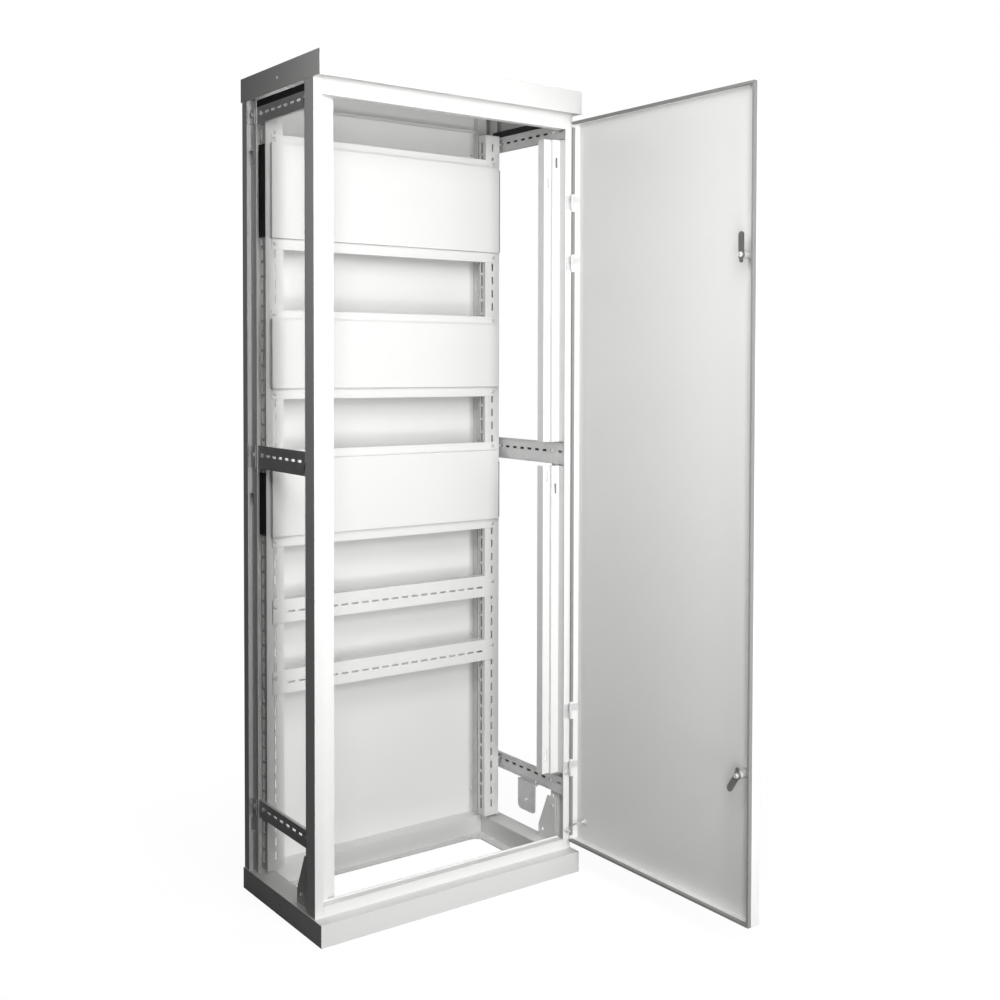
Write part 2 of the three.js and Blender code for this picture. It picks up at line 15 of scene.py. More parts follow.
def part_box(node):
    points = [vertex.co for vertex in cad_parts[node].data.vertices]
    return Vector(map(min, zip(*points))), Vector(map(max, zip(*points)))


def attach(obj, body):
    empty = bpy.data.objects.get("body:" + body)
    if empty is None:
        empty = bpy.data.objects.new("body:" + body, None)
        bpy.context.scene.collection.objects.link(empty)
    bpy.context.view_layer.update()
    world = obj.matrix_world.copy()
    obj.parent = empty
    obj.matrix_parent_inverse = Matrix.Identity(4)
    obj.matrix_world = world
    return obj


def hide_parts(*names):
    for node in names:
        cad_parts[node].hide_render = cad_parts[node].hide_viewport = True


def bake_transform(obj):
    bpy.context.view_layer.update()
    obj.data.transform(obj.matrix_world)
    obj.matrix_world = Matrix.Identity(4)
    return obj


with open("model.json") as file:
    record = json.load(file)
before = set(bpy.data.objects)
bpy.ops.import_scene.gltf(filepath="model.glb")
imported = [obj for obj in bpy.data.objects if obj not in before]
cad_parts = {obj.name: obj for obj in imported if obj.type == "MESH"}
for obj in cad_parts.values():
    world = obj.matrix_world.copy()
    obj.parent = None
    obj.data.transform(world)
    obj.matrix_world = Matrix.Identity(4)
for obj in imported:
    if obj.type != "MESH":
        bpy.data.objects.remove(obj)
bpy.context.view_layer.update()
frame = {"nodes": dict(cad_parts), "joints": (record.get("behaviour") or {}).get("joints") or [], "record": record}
nodes = frame["nodes"]

# %% [markdown]
# ## The camera
# A cabinet looks upright only if its vertical edges stay parallel. A photographer gets that by
# holding the camera level and sliding the lens instead of tilting it; Blender's lens shift does
# the same. The camera stands a little over chest height, to the left of the front.

# %% Camera
scene = bpy.context.scene
camera = bpy.data.objects.new("camera", bpy.data.cameras.new("camera"))
scene.collection.objects.link(camera)
camera.data.sensor_width = 36.0
camera.data.lens = 47.35
camera.data.shift_x = -0.2094
camera.data.shift_y = -0.1000
camera.data.clip_end = 60.0
heading, tilt, roll = 40.85, -1.69, 0.39
camera.matrix_world = (
    Matrix.Translation((-1.598, -2.781, 1.319))
    @ Matrix.Rotation(math.radians(-heading), 4, "Z")
    @ Matrix.Rotation(math.radians(90 + tilt), 4, "X")
    @ Matrix.Rotation(math.radians(roll), 4, "Z")
)
scene.camera = camera
print("camera at", [round(v, 2) for v in camera.location])

# %% [markdown]
# ## Writing shader maths as Python
# A node tree is easier to read as an expression. `Signal` wraps one output socket, so
# `1 - mask * 0.2` adds the Math nodes by itself. `Finish` owns a material's tree, and its
# `node` method makes any other node: its settings first, because they decide which sockets it
# has, then the values or signals of its inputs.


# %% Signals and finishes
class Signal:
    """One output socket, with Python's operators standing for Math nodes."""

    def __init__(self, owner, socket):
        self.owner, self.socket = owner, socket

    def _math(self, operation, first, second):
        made = self.owner.node(
            "ShaderNodeMath", {"operation": operation}, {0: first, 1: second}
        )
        return Signal(self.owner, made.outputs[0])

    def __add__(self, other):
        return self._math("ADD", self, other)

    def __radd__(self, other):
        return self._math("ADD", other, self)

    def __sub__(self, other):
        return self._math("SUBTRACT", self, other)

    def __rsub__(self, other):
        return self._math("SUBTRACT", other, self)

    def __mul__(self, other):
        return self._math("MULTIPLY", self, other)

    def __rmul__(self, other):
        return self._math("MULTIPLY", other, self)


class Tree:
    """A node tree that is filled by expressions."""

    def __init__(self, tree):
        self.tree = tree
        tree.nodes.clear()

    def node(self, kind, settings=None, inputs=None):
        made = self.tree.nodes.new(kind)
        for name, value in (settings or {}).items():
            if name == "stops":
                for stop, (position, color) in zip(
                    made.color_ramp.elements, value, strict=True
                ):
                    stop.position, stop.color = position, color
            else:
                setattr(made, name, value)
        for name, value in (inputs or {}).items():
            if isinstance(value, Signal):
                self.tree.links.new(value.socket, made.inputs[name])
            else:
                made.inputs[name].default_value = value
        return made

    def signal(self, kind, output, settings=None, inputs=None):
        return Signal(self, self.node(kind, settings, inputs).outputs[output])

    def blend(self, share, first, second):
        """A colour between two others."""
        settings = {"data_type": "RGBA", "clamp_factor": True}
        return self.signal("ShaderNodeMix", 2, settings, {0: share, 6: first, 7: second})


class Finish(Tree):
    """A material: one Principled shader and whatever varies over the surface."""

    def __init__(self, name):
        self.material = bpy.data.materials.new(name)
        self.material.use_nodes = True
        super().__init__(self.material.node_tree)
        place = self.node("ShaderNodeTexCoord")
        self.place = Signal(self, place.outputs["Object"])

    def noise(self, scale, detail=2.0, roughness=0.5, stretch=(1, 1, 1)):
        """Soft random patches; the scale counts them per metre."""
        where = self.place
        if stretch != (1, 1, 1):
            where = self.signal(
                "ShaderNodeVectorMath", 0, {"operation": "MULTIPLY"}, {0: where, 1: stretch}
            )
        return self.signal(
            "ShaderNodeTexNoise", "Fac", None,
            {"Vector": where, "Scale": scale, "Detail": detail, "Roughness": roughness},
        )

    def ramp(self, value, low, high):
        """Stretches the part of a signal between low and high to 0..1."""
        return self.signal(
            "ShaderNodeMapRange", 0, {"clamp": True},
            {"Value": value, "From Min": low, "From Max": high, "To Min": 0.0, "To Max": 1.0},
        )

    def surface(self, bump=None, depth=0.0001, **inputs):
        if bump is not None:
            inputs["Normal"] = self.signal(
                "ShaderNodeBump", 0, None, {"Height": bump, "Distance": depth, "Strength": 1.0}
            )
        named = {name.replace("_", " "): value for name, value in inputs.items()}
        shader = self.node("ShaderNodeBsdfPrincipled", None, named)
        output = self.node("ShaderNodeOutputMaterial")
        self.tree.links.new(shader.outputs[0], output.inputs["Surface"])
        return self.material


print("shader helpers ready")

# %% [markdown]
# ## The studio
# The object stands on a pale floor in front of white. The white that the camera sees isn't what
# lights the scene: bright walls all round would flatten every fold. So the world and the floor
# each mix two shaders, one for what the camera sees directly and a dim one for everything else.

# %% Floor and backdrop
scene.view_settings.view_transform = "Standard"
WHITE = (1.0, 1.0, 1.0, 1.0)


def seen_directly(tree):
    return tree.signal("ShaderNodeLightPath", "Is Camera Ray")


world = bpy.data.worlds.new("studio")
scene.world = world
world.use_nodes = True
sky = Tree(world.node_tree)
dim = sky.signal("ShaderNodeBackground", 0, None, {"Color": WHITE, "Strength": 0.02})
bright = sky.signal("ShaderNodeBackground", 0, None, {"Color": WHITE, "Strength": 1.0})
mixed = sky.signal("ShaderNodeMixShader", 0, None, {0: seen_directly(sky), 1: dim, 2: bright})
sky.node("ShaderNodeOutputWorld", None, {"Surface": mixed})

floor_finish = Finish("studio_floor")
grain = floor_finish.noise(3.0, 4.0)
pale = floor_finish.blend(grain, (0.10, 0.10, 0.10, 1), (0.12, 0.12, 0.12, 1))
matt = floor_finish.signal("ShaderNodeBsdfDiffuse", 0, None, {"Color": pale})
spread = floor_finish.signal(
    "ShaderNodeVectorMath", "Value", {"operation": "LENGTH"}, {0: floor_finish.place}
)
fade = floor_finish.ramp(spread, 0.5, 2.4) * 0.06 + 0.94
glow = floor_finish.signal("ShaderNodeEmission", 0, None, {"Color": WHITE, "Strength": fade})
lit = floor_finish.signal("ShaderNodeAddShader", 0, None, {0: matt, 1: glow})
chosen = floor_finish.signal(
    "ShaderNodeMixShader", 0, None, {0: seen_directly(floor_finish), 1: matt, 2: lit}
)
floor_finish.node("ShaderNodeOutputMaterial", None, {"Surface": chosen})

floor_mesh = bpy.data.meshes.new("floor")
reach = 14.0
corners = [(-reach, -reach, 0), (reach, -reach, 0), (reach, reach, 0), (-reach, reach, 0)]
floor_mesh.from_pydata(corners, [], [(0, 1, 2, 3)])
floor_mesh.materials.append(floor_finish.material)
floor = bpy.data.objects.new("floor", floor_mesh)
floor.location.z = -0.0005
scene.collection.objects.link(floor)
print("floor and backdrop ready")

# %% [markdown]
# ## The lights
# The light comes from soft boxes in front of the door opening, so the fronts and the inside are
# bright while the outside of the left wall, which faces away from them, falls into shade. A
# small box high up gives the edges their thin shadows and the tall ones fill them. A low one
# reaches the roof's underside, and one behind the cabinet lights its back and right-hand side.


# %% Soft boxes
def soft_box(name, at, towards, size, power):
    lamp = bpy.data.lights.new(name, "AREA")
    lamp.shape, lamp.size, lamp.size_y, lamp.energy = "RECTANGLE", *size, power
    placed = bpy.data.objects.new(name, lamp)
    placed.location = at
    placed.rotation_euler = (Vector(towards) - Vector(at)).to_track_quat("-Z", "Y").to_euler()
    placed.visible_camera = False
    scene.collection.objects.link(placed)
    return placed


soft_box("key_box", (-0.05, -2.9, 1.98), (0.02, 0.2, 1.0), (0.55, 0.55), 14)
soft_box("front_box", (0.02, -2.9, 1.00), (0.02, 0.0, 0.90), (0.66, 2.0), 18)
soft_box("low_box", (0.0, -2.2, 0.30), (0.0, 0.2, 0.75), (0.6, 0.4), 9)
soft_box("left_front_box", (-0.78, -0.95, 1.95), (-0.34, 0.1, 1.5), (0.3, 0.6), 8)
soft_box("door_box", (-0.30, -1.45, 1.25), (0.37, -0.45, 0.95), (0.35, 2.3), 19)
soft_box("rear_box", (1.0, 3.0, 1.5), (0.2, 0.4, 1.0), (1.4, 2.0), 30)

# %% [markdown]
# ## Powder coat
# The sheet is dipped in a light powder that melts to a satin skin. Close up it isn't flat: it
# has a fine orange-peel ripple, and the gloss wanders a little. That ripple is a bump of two
# noises, under a tenth of a millimetre deep, and the colour drifts by a hair with it.


# %% Coats
def powder_coat(name, tint, gloss, peel):
    coat = Finish(name)
    ripple = coat.noise(420.0, 2.0) + coat.noise(1500.0, 1.0) * 0.35
    cloud = coat.noise(2.2, 3.0)
    dust = coat.ramp(coat.noise(9.0, 6.0, 0.62), 0.50, 0.78)
    clean = coat.blend(cloud, (*[c * 0.965 for c in tint], 1), (*tint, 1))
    color = coat.blend(dust * 0.10, clean, (*[c * 0.86 for c in tint], 1))
    return coat.surface(
        bump=ripple, depth=peel, Base_Color=color, Roughness=cloud * 0.10 + dust * 0.08 + gloss
    )


frame_coat = powder_coat("frame_coat", (0.80, 0.80, 0.79), 0.36, 0.00007)
panel_coat = powder_coat("panel_coat", (0.82, 0.82, 0.81), 0.33, 0.00004)
print("coats:", frame_coat.name, panel_coat.name)

# %% [markdown]
# ## Zinc plate
# Zinc grows in faint flakes that each catch the light differently, so the roughness follows a
# Voronoi pattern. The plating on small hardware is finer and brighter than on the rails, which
# is the same finish with smaller flakes.


# %% Zinc
def zinc_plate(name, tint, size):
    zinc = Finish(name)
    flakes = zinc.signal(
        "ShaderNodeTexVoronoi", "Color", {"feature": "F1"}, {"Vector": zinc.place, "Scale": size}
    )
    tone = zinc.signal("ShaderNodeRGBToBW", 0, None, {0: flakes})
    smear = zinc.noise(30.0, 4.0)
    color = zinc.blend(tone * 0.5 + smear * 0.5, (*[c * 0.82 for c in tint], 1), (*tint, 1))
    return zinc.surface(
        bump=zinc.noise(900.0, 2.0), depth=0.00003, Base_Color=color, Metallic=0.38,
        Roughness=tone * 0.14 + smear * 0.10 + 0.30,
    )


zinc = zinc_plate("zinc_plate", (0.76, 0.76, 0.76), 140.0)
bright_zinc = zinc_plate("bright_zinc", (0.80, 0.80, 0.80), 600.0)
print("zinc:", zinc.name, bright_zinc.name)

# %% [markdown]
# ## Drawn steel
# The lock levers are a darker bare metal with fine lines along their length. A noise stretched
# along one axis draws such lines. A near-black copy of it is painted shade behind covers and slots.


# %% Drawn steel
def drawn_steel(name, tint):
    steel = Finish(name)
    lines = steel.noise(260.0, 3.0, 0.6, stretch=(1, 1, 0.08))
    color = steel.blend(lines, (*[c * 0.75 for c in tint], 1), (*tint, 1))
    return steel.surface(
        bump=lines, depth=0.00004, Base_Color=color, Metallic=0.9, Roughness=lines * 0.2 + 0.28
    )


dark_steel = drawn_steel("dark_steel", (0.40, 0.40, 0.39))
# painted shade: a near-black copy of the metal for plates and strips set where only shade falls
painted_shade_steel = drawn_steel("painted_shade_steel", (0.035, 0.035, 0.034))
print("steel:", dark_steel.name, painted_shade_steel.name)

# %% [markdown]
# ## Foam and cable sheath
# The door seal is foamed in place, so its skin shows open pores: the distance to the nearest
# Voronoi point, as a bump. The bonding lead is a braid, and slanting bands of a Wave texture
# give its plaits.


# %% Foam and sheath
def foam(name, tint):
    cells = Finish(name)
    pores = cells.signal(
        "ShaderNodeTexVoronoi", "Distance", {"feature": "F1"},
        {"Vector": cells.place, "Scale": 1100.0},
    )
    color = cells.blend(pores, (*[c * 0.6 for c in tint], 1), (*tint, 1))
    return cells.surface(bump=pores, depth=0.0004, Base_Color=color, Roughness=0.92)


seal_foam = foam("seal_foam", (0.34, 0.34, 0.33))
# painted shade: near-black foam for the strips in the shaded gap under the cap
painted_shade_foam = foam("painted_shade_foam", (0.03, 0.03, 0.03))
sheath = Finish("lead_sheath")
plaits = sheath.signal(
    "ShaderNodeTexWave", "Fac", {"wave_type": "BANDS", "bands_direction": "DIAGONAL"},
    {"Vector": sheath.place, "Scale": 260.0, "Distortion": 1.5},
)
sheath_color = sheath.blend(plaits, (0.42, 0.41, 0.37, 1), (0.66, 0.65, 0.60, 1))
lead_sheath = sheath.surface(bump=plaits, depth=0.0003, Base_Color=sheath_color, Roughness=0.55)
print("finishes:", len(bpy.data.materials))

# %% [markdown]
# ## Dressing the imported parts
# Each part takes the finish of its record slot. Folded sheet never has a knife edge, so a
# planar Decimate first merges the flat facets and a Bevel then rounds what is left by half a
# millimetre. Modifiers leave the mesh itself untouched.

# %% Finishes and rounded edges
SHEET_EDGE = 0.0005
finish_of_slot = {
    "frame_coat": frame_coat,
    "panel_coat": panel_coat,
    "zinc_plate": zinc,
    "dark_steel": dark_steel,
    "seal_foam": seal_foam,
    "lead_sheath": lead_sheath,
}


def round_edges(part, width):
    flat = part.modifiers.new("flat", "DECIMATE")
    flat.decimate_type, flat.angle_limit = "DISSOLVE", math.radians(1.0)
    bevel = part.modifiers.new("edge", "BEVEL")
    bevel.width, bevel.segments = width, 2
    bevel.limit_method, bevel.angle_limit = "ANGLE", math.radians(35)
    bevel.harden_normals = True
    part.modifiers.new("normals", "WEIGHTED_NORMAL").keep_sharp = True


def dress(part, finish):
    part.data.materials.clear()
    part.data.materials.append(finish)
    round_edges(part, SHEET_EDGE)


for row in frame["record"]["subparts"]:
    dress(nodes[row["node"]], finish_of_slot[row["material_slot"]])

# %% [markdown]
# ## Small hardware from stacked outlines
# A screw head, a hex bolt and a ring lug are all outlines stacked along an axis, so one `loft`
# makes every one of them. An outline is a function from angle to radius. The drive recess is
# real geometry: the stack turns inwards and ends at the recess's floor.

# %% Outlines and the loft
MM = 0.001
AROUND = 32
CREASE = math.radians(32)


def circle(radius):
    return lambda angle: radius


def hexagon(across_flats):
    sixth = math.pi / 3
    return lambda angle: across_flats / 2 / math.cos(angle % sixth - sixth / 2)


def cross(reach, waist):
    return lambda angle: reach if abs(math.sin(2 * angle)) < 0.5 else waist


def tongue(radius, length, half_width):
    """A ring with a straight tongue towards +X."""

    def outline(angle):
        along, across = math.cos(angle), abs(math.sin(angle))
        if along <= 0:
            return radius
        return max(radius, min(length / along, half_width / max(across, 1e-6)))

    return outline


def loft(bm, stack, ring=False):
    """Skins a stack of (outline, height) in millimetres; a ring has a bore, not two end caps."""
    angles = [2 * math.pi * i / AROUND for i in range(AROUND)]
    loops = [
        [bm.verts.new(MM * Vector((outline(a) * math.cos(a), outline(a) * math.sin(a), height)))
         for a in angles]
        for outline, height in stack
    ]
    pairs = list(zip(loops, loops[1:])) + ([(loops[-1], loops[0])] if ring else [])
    for low_loop, high_loop in pairs:
        for i in range(AROUND):
            j = (i + 1) % AROUND
            bm.faces.new((low_loop[i], low_loop[j], high_loop[j], high_loop[i]))
    if not ring:
        bm.faces.new(list(reversed(loops[0])))
        bm.faces.new(loops[-1])


def mesh_of(name, finish, build):
    bm = bmesh.new()
    build(bm)
    bmesh.ops.recalc_face_normals(bm, faces=bm.faces)
    mesh = bpy.data.meshes.new(name)
    bm.to_mesh(mesh)
    bm.free()
    mesh.shade_smooth()
    mesh.set_sharp_from_angle(angle=CREASE)
    mesh.materials.append(finish)
    return mesh


print("loft ready, points around:", AROUND)

# %% [markdown]
# ## Screws, bolts, nuts and rivets
# Each kind is made once and shared by all its copies, as a workshop buys them by the box. The
# bolt and the nut carry a washer of their own, a second loft with a bore. Every stack reads
# from the tip of the shank to the top of the head, in millimetres.


# %% Screws, bolts, nuts and rivets
def build_pan_screw(bm):
    loft(bm, [
        (circle(1.9), -9), (circle(1.9), -0.2), (circle(5.0), 0), (circle(5.0), 0.7),
        (circle(4.6), 1.6), (circle(3.7), 2.3), (circle(3.0), 2.6),
        (cross(2.7, 0.9), 2.6), (cross(2.4, 0.8), 1.2),
    ])


def build_hex_bolt(bm):
    washer = [(circle(3.1), 0), (circle(6.6), 0), (circle(6.6), 1.1), (circle(3.1), 1.1)]
    loft(bm, washer, ring=True)
    loft(bm, [
        (circle(3.0), -11), (circle(3.0), 1.3), (hexagon(9.6), 1.3), (hexagon(10), 1.6),
        (hexagon(10), 4.7), (circle(4.6), 5.3), (circle(3.6), 5.3), (circle(3.4), 5.0),
    ])


def build_nut(bm):
    washer = [(circle(3.2), 0), (circle(6.2), 0), (circle(6.2), 1.0), (circle(3.2), 1.0)]
    loft(bm, washer, ring=True)
    loft(bm, [
        (circle(3.2), 1.1), (circle(4.6), 1.1), (hexagon(10), 1.6), (hexagon(10), 5.2),
        (circle(4.6), 5.8), (circle(3.5), 5.8), (circle(3.2), 5.5),
    ], ring=True)


def build_rivet(bm):
    loft(bm, [
        (circle(1.6), -4), (circle(1.6), 0), (circle(3.2), 0), (circle(3.2), 0.35),
        (circle(2.5), 1.0), (circle(1.2), 1.35), (circle(1.0), 1.35), (circle(0.9), 0.9),
    ])


pan_screw = mesh_of("pan_screw", bright_zinc, build_pan_screw)
hex_bolt = mesh_of("hex_bolt", bright_zinc, build_hex_bolt)
nut = mesh_of("nut", bright_zinc, build_nut)
rivet = mesh_of("rivet", bright_zinc, build_rivet)


def place(name, mesh, at, facing, body="cabinet", slot="zinc_plate", turn=0.0, rest=None):
    """Puts a piece down with its +Z towards `facing`, then lets it ride on a body."""
    piece = bpy.data.objects.new(name, mesh)
    scene.collection.objects.link(piece)
    aim = Vector(facing).to_track_quat("Z", "Y").to_matrix().to_4x4()
    spot = Matrix.Translation(Vector(at)) @ aim @ Matrix.Rotation(turn, 4, "Z")
    piece.matrix_world = (rest or Matrix.Identity(4)) @ spot
    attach(piece, body)
    return piece


print("hardware meshes:", [m.name for m in (pan_screw, hex_bolt, nut, rivet)])

# %% [markdown]
# ## Fixing the rails
# Each cross rail and mounting rail is screwed to the uprights at both ends. The screw holes are
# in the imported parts; the heads go over them. Every screw was tightened by hand, so no two
# drive slots line up: a fixed step in the angle, the golden angle, stands in for chance.

# %% Screws through the cross rails and mounting rails
GOLDEN = math.radians(137.5)
SIDES = ((-1, "left"), (1, "right"))
SCREW_X = 0.306
HEAD_RAIL_OFFSET = 0.002
MOUNTING_HOLE_UP = 0.040
crossing_rails = sorted(n for n in nodes if n.startswith(("cross_rail", "mounting_rail")))
for i, name in enumerate(crossing_rails):
    rail_low, rail_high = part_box(name)
    front, height = rail_low.y, (rail_low.z + rail_high.z) / 2
    if name.startswith("mounting_rail"):
        height = rail_low.z + MOUNTING_HOLE_UP
    elif not name.endswith("foot"):
        height += HEAD_RAIL_OFFSET
    for side, word in SIDES:
        place(f"{name}_screw_{word}", pan_screw, (side * SCREW_X, front, height), (0, -1, 0),
              turn=GOLDEN * (2 * i + side))
print("rail screws:", 2 * len(crossing_rails))

# %% [markdown]
# ## Folded strips
# Tabs, the edge trim, and the near-black plates and strips that paint shade have one thing in
# common: the same cross-section all the way along. Drawing that section once and carrying it
# along an axis makes a clean closed body, and the bevel then gives it the soft corners of a bend.


# %% Pieces with one cross-section
def prism(outline, height):
    """Carries an outline in metres straight up along Z."""

    def build(bm):
        foot = [bm.verts.new((x, y, 0)) for x, y in outline]
        head = [bm.verts.new((x, y, height)) for x, y in outline]
        bm.faces.new(list(reversed(foot)))
        bm.faces.new(head)
        for i in range(len(foot)):
            j = (i + 1) % len(foot)
            bm.faces.new((foot[i], foot[j], head[j], head[i]))

    return build


def profile_piece(name, outline, height, finish, spot, body="cabinet", edge=SHEET_EDGE):
    """A straight length of folded sheet or moulded strip, with rounded edges."""
    piece = bpy.data.objects.new(name, mesh_of(name, finish, prism(outline, height)))
    piece.matrix_world = spot if isinstance(spot, Matrix) else Matrix.Translation(spot)
    scene.collection.objects.link(piece)
    round_edges(piece, edge)
    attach(piece, body)
    return piece


print("strips can be made, edges rounded by", SHEET_EDGE)

# %% [markdown]
# ## Side rails, their end tabs and bolts
# The slotted rails across the two open sides are bolted to the posts' flanges and to the
# uprights. At the rear end a small angle of plated steel wraps the post's step, which stops the
# rail from turning about its bolt. One leg of that angle lies on the flange, the other across
# the step, both of 2 mm sheet.

# %% Angle tabs and bolts of the side rails
LEVELS = ("top", "middle", "bottom")
TAB = [(0, 0), (0.002, 0), (0.002, 0.0255), (0.0084, 0.0255), (0.0084, 0.0275), (0, 0.0275)]
TAB_FRONT_Y, TAB_SHEET, TAB_GAP = 0.3662, 0.002, 0.002
TAB_RIVET_X, TAB_RIVET_Y = 0.3432, 0.3917
FLANGE_OUT, UPRIGHT_OUT = 0.3383, 0.3357
FRONT_BOLT_Y, REAR_BOLT_Y, UPRIGHT_BOLT_Y = 0.0740, 0.3745, 0.3350
SLOT_SHARE = 0.58


def slot_height(rail_low, rail_high):
    """The height of the row of slots in a side rail."""
    return rail_low.z + SLOT_SHARE * (rail_high.z - rail_low.z)


for level in LEVELS:
    for side, word in SIDES:
        stem = f"side_rail_{level}_{word}"
        rail_low, rail_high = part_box(stem)
        middle, outward = slot_height(rail_low, rail_high), (side, 0, 0)
        outline = [(side * x, y) for x, y in TAB]
        profile_piece(f"{stem}_tab", outline, rail_high.z - rail_low.z - 2 * TAB_GAP, zinc,
                      (side * FLANGE_OUT, TAB_FRONT_Y, rail_low.z + TAB_GAP))
        for part, x, y, turn in (
            ("front", FLANGE_OUT, FRONT_BOLT_Y, 0.0),
            ("rear", FLANGE_OUT + TAB_SHEET, REAR_BOLT_Y, 0.4),
            ("upright", UPRIGHT_OUT, UPRIGHT_BOLT_Y, 0.2),
        ):
            place(f"{stem}_{part}_bolt", hex_bolt, (side * x, y, middle), outward, turn=turn)
        place(f"{stem}_tab_rivet", rivet, (side * TAB_RIVET_X, TAB_RIVET_Y, middle), (0, -1, 0))
print("side rails fixed")

# %% [markdown]
# ## Panels, roof and feet
# The back panel is screwed on from behind, the cap is held by four bolts through its top, and
# the foot plates are bolted through the posts' flanges. The bracket low on the right carries
# the cabinet's earthing bolt.

# %% Fixings of the back panel, the cap, the feet and the earth bracket
BACK_SCREWS, BACK_MARGIN, BACK_INSET, CAP_INSET = 5, 0.06, 0.009, 0.05
FOOT_BOLT_IN, FOOT_BOLT_DOWN = 0.010, 0.022
back_low, back_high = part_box("back_panel")
back_step = (back_high.z - back_low.z - 2 * BACK_MARGIN) / (BACK_SCREWS - 1)
for i in range(BACK_SCREWS):
    height = back_low.z + BACK_MARGIN + i * back_step
    for side, word in SIDES:
        spot = (side * (back_high.x - BACK_INSET), back_high.y, height)
        place(f"back_panel_screw_{word}_{i + 1}", pan_screw, spot, (0, 1, 0), turn=GOLDEN * i)
cap_low, cap_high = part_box("roof_cap")
for side, word in SIDES:
    for y, end in ((cap_low.y + CAP_INSET, "front"), (cap_high.y - CAP_INSET, "rear")):
        spot = (side * (cap_high.x - CAP_INSET), y, cap_high.z)
        place(f"roof_cap_bolt_{end}_{word}", hex_bolt, spot, (0, 0, 1), turn=GOLDEN * side)
    foot_low, foot_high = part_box(f"foot_plate_{word}")
    inner_face = foot_low.x if side > 0 else foot_high.x
    spot = (inner_face, foot_low.y + FOOT_BOLT_IN, foot_high.z - FOOT_BOLT_DOWN)
    place(f"foot_plate_bolt_{word}", hex_bolt, spot, (-side, 0, 0))
EARTH_BOLT_UP, BRACKET_SHEET = 0.030, 0.003
BRACKET_BOLT_X, BRACKET_BOLT_Y = 0.0105, 0.012
earth_low, earth_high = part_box("earth_bracket")
earth_spot = Vector((earth_low.x, (earth_low.y + earth_high.y) / 2, earth_low.z + EARTH_BOLT_UP))
place("earth_bolt", hex_bolt, earth_spot, (-1, 0, 0))
place("earth_bolt_nut", nut, earth_spot + Vector((BRACKET_SHEET, 0, 0)), (1, 0, 0))
spot = (earth_low.x + BRACKET_BOLT_X, earth_low.y + BRACKET_BOLT_Y, earth_high.z - BRACKET_SHEET)
place("earth_bracket_bolt", hex_bolt, spot, (0, 0, -1))
print("panel, cap and foot fixings placed")

# %% [markdown]
# ## Hinges and locks
# The door's pieces are easiest to place on the shut door and then turn about the hinge pins
# with it. One matrix does that turn for all of them. Each lock's lever is held by a nut on the
# end of its spindle, so that nut rides on the lever's own body.

# %% Turning things open with the door
hinge = next(joint for joint in frame["joints"] if joint["name"] == "door_hinge")
pivot = Matrix.Translation(Vector(hinge["pos_m"]))
door_open = pivot @ Matrix.Rotation(math.radians(90), 4, "Z") @ pivot.inverted()
BASE_FACE, DOOR_PLATE_FACE = 0.0107, 0.3427
RIVET_X, DOOR_RIVET_Y, RIVET_STEP = 0.3335, -0.0110, 0.010
HINGES = (1, 2, 3, 4)
for number in HINGES:
    half_low, half_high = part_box(f"hinge_{number}_frame_half")
    pin_low, pin_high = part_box(f"hinge_{number}_door_half")
    for step, word in ((-RIVET_STEP, "lower"), (RIVET_STEP, "upper")):
        middle = (half_low.z + half_high.z) / 2 + step
        place(f"hinge_{number}_rivet_{word}", rivet, (RIVET_X, BASE_FACE, middle), (0, -1, 0))
    spot = (DOOR_PLATE_FACE, DOOR_RIVET_Y, (pin_low.z + pin_high.z) / 2)
    place(f"hinge_{number}_door_rivet", rivet, spot, (-1, 0, 0), body="door", rest=door_open)
LOCK_X, CAM_BACK, LOCK_HEIGHTS = -0.3175, 0.0193, {"upper": 1.552, "lower": 0.408}
for word, height in LOCK_HEIGHTS.items():
    place(f"{word}_lock_cam_nut", nut, (LOCK_X, CAM_BACK, height), (0, 1, 0),
          body=f"{word}_lock_lever", rest=door_open)
print("hinge and lock fixings placed")

# %% [markdown]
# ## The bonding lead
# A painted door on hinges isn't reliably earthed, so a short flexible lead joins it to the
# frame. At each end a ring lug is clamped on a stud by a nut. These pieces stay rigid, so each
# rides on its own side: the frame's on the cabinet, the door's on the door.

# %% Studs, lugs and nuts of the lead
LUG_OFF, NUT_OFF, LEAD_OFF = 0.0015, 0.0028, 0.0030
frame_post = Vector((0.3375, 0.0130, 0.1000))
door_post = door_open @ Vector((0.308, -0.021, 0.128))


def build_lug(bm):
    loft(bm, [(circle(3.15), 0), (tongue(5.6, 11, 2.6), 0), (tongue(5.6, 11, 2.6), 1.0),
              (circle(3.15), 1.0)], ring=True)


def build_stud(bm):
    loft(bm, [(circle(4.5), 0), (circle(4.5), 0.8), (circle(3.0), 1.0), (circle(3.0), 12.4),
              (circle(2.5), 13.0)])


lug = mesh_of("lug", bright_zinc, build_lug)
stud = mesh_of("stud", bright_zinc, build_stud)
out_of_frame, out_of_door = Vector((0, -1, 0)), Vector((-1, 0, 0))
place("frame_earth_stud", stud, frame_post, out_of_frame)
place("lead_lug_frame", lug, frame_post + LUG_OFF * out_of_frame, out_of_frame,
      turn=math.radians(150))
place("lead_nut_frame", nut, frame_post + NUT_OFF * out_of_frame, out_of_frame)
place("lead_lug_door", lug, door_post + LUG_OFF * out_of_door, out_of_door, body="door",
      turn=math.radians(-60))
place("lead_nut_door", nut, door_post + NUT_OFF * out_of_door, out_of_door, body="door", turn=0.3)
print("posts:", [round(v, 3) for v in frame_post], [round(v, 3) for v in door_post])

# %% [markdown]
# ## The flexible part of the lead
# The braid itself is a tube swept along a smooth curve with a little slack, and is turned into a
# mesh.

# %% The lead itself
LEAD_RADIUS, LUG_REACH = 0.0022, 0.009


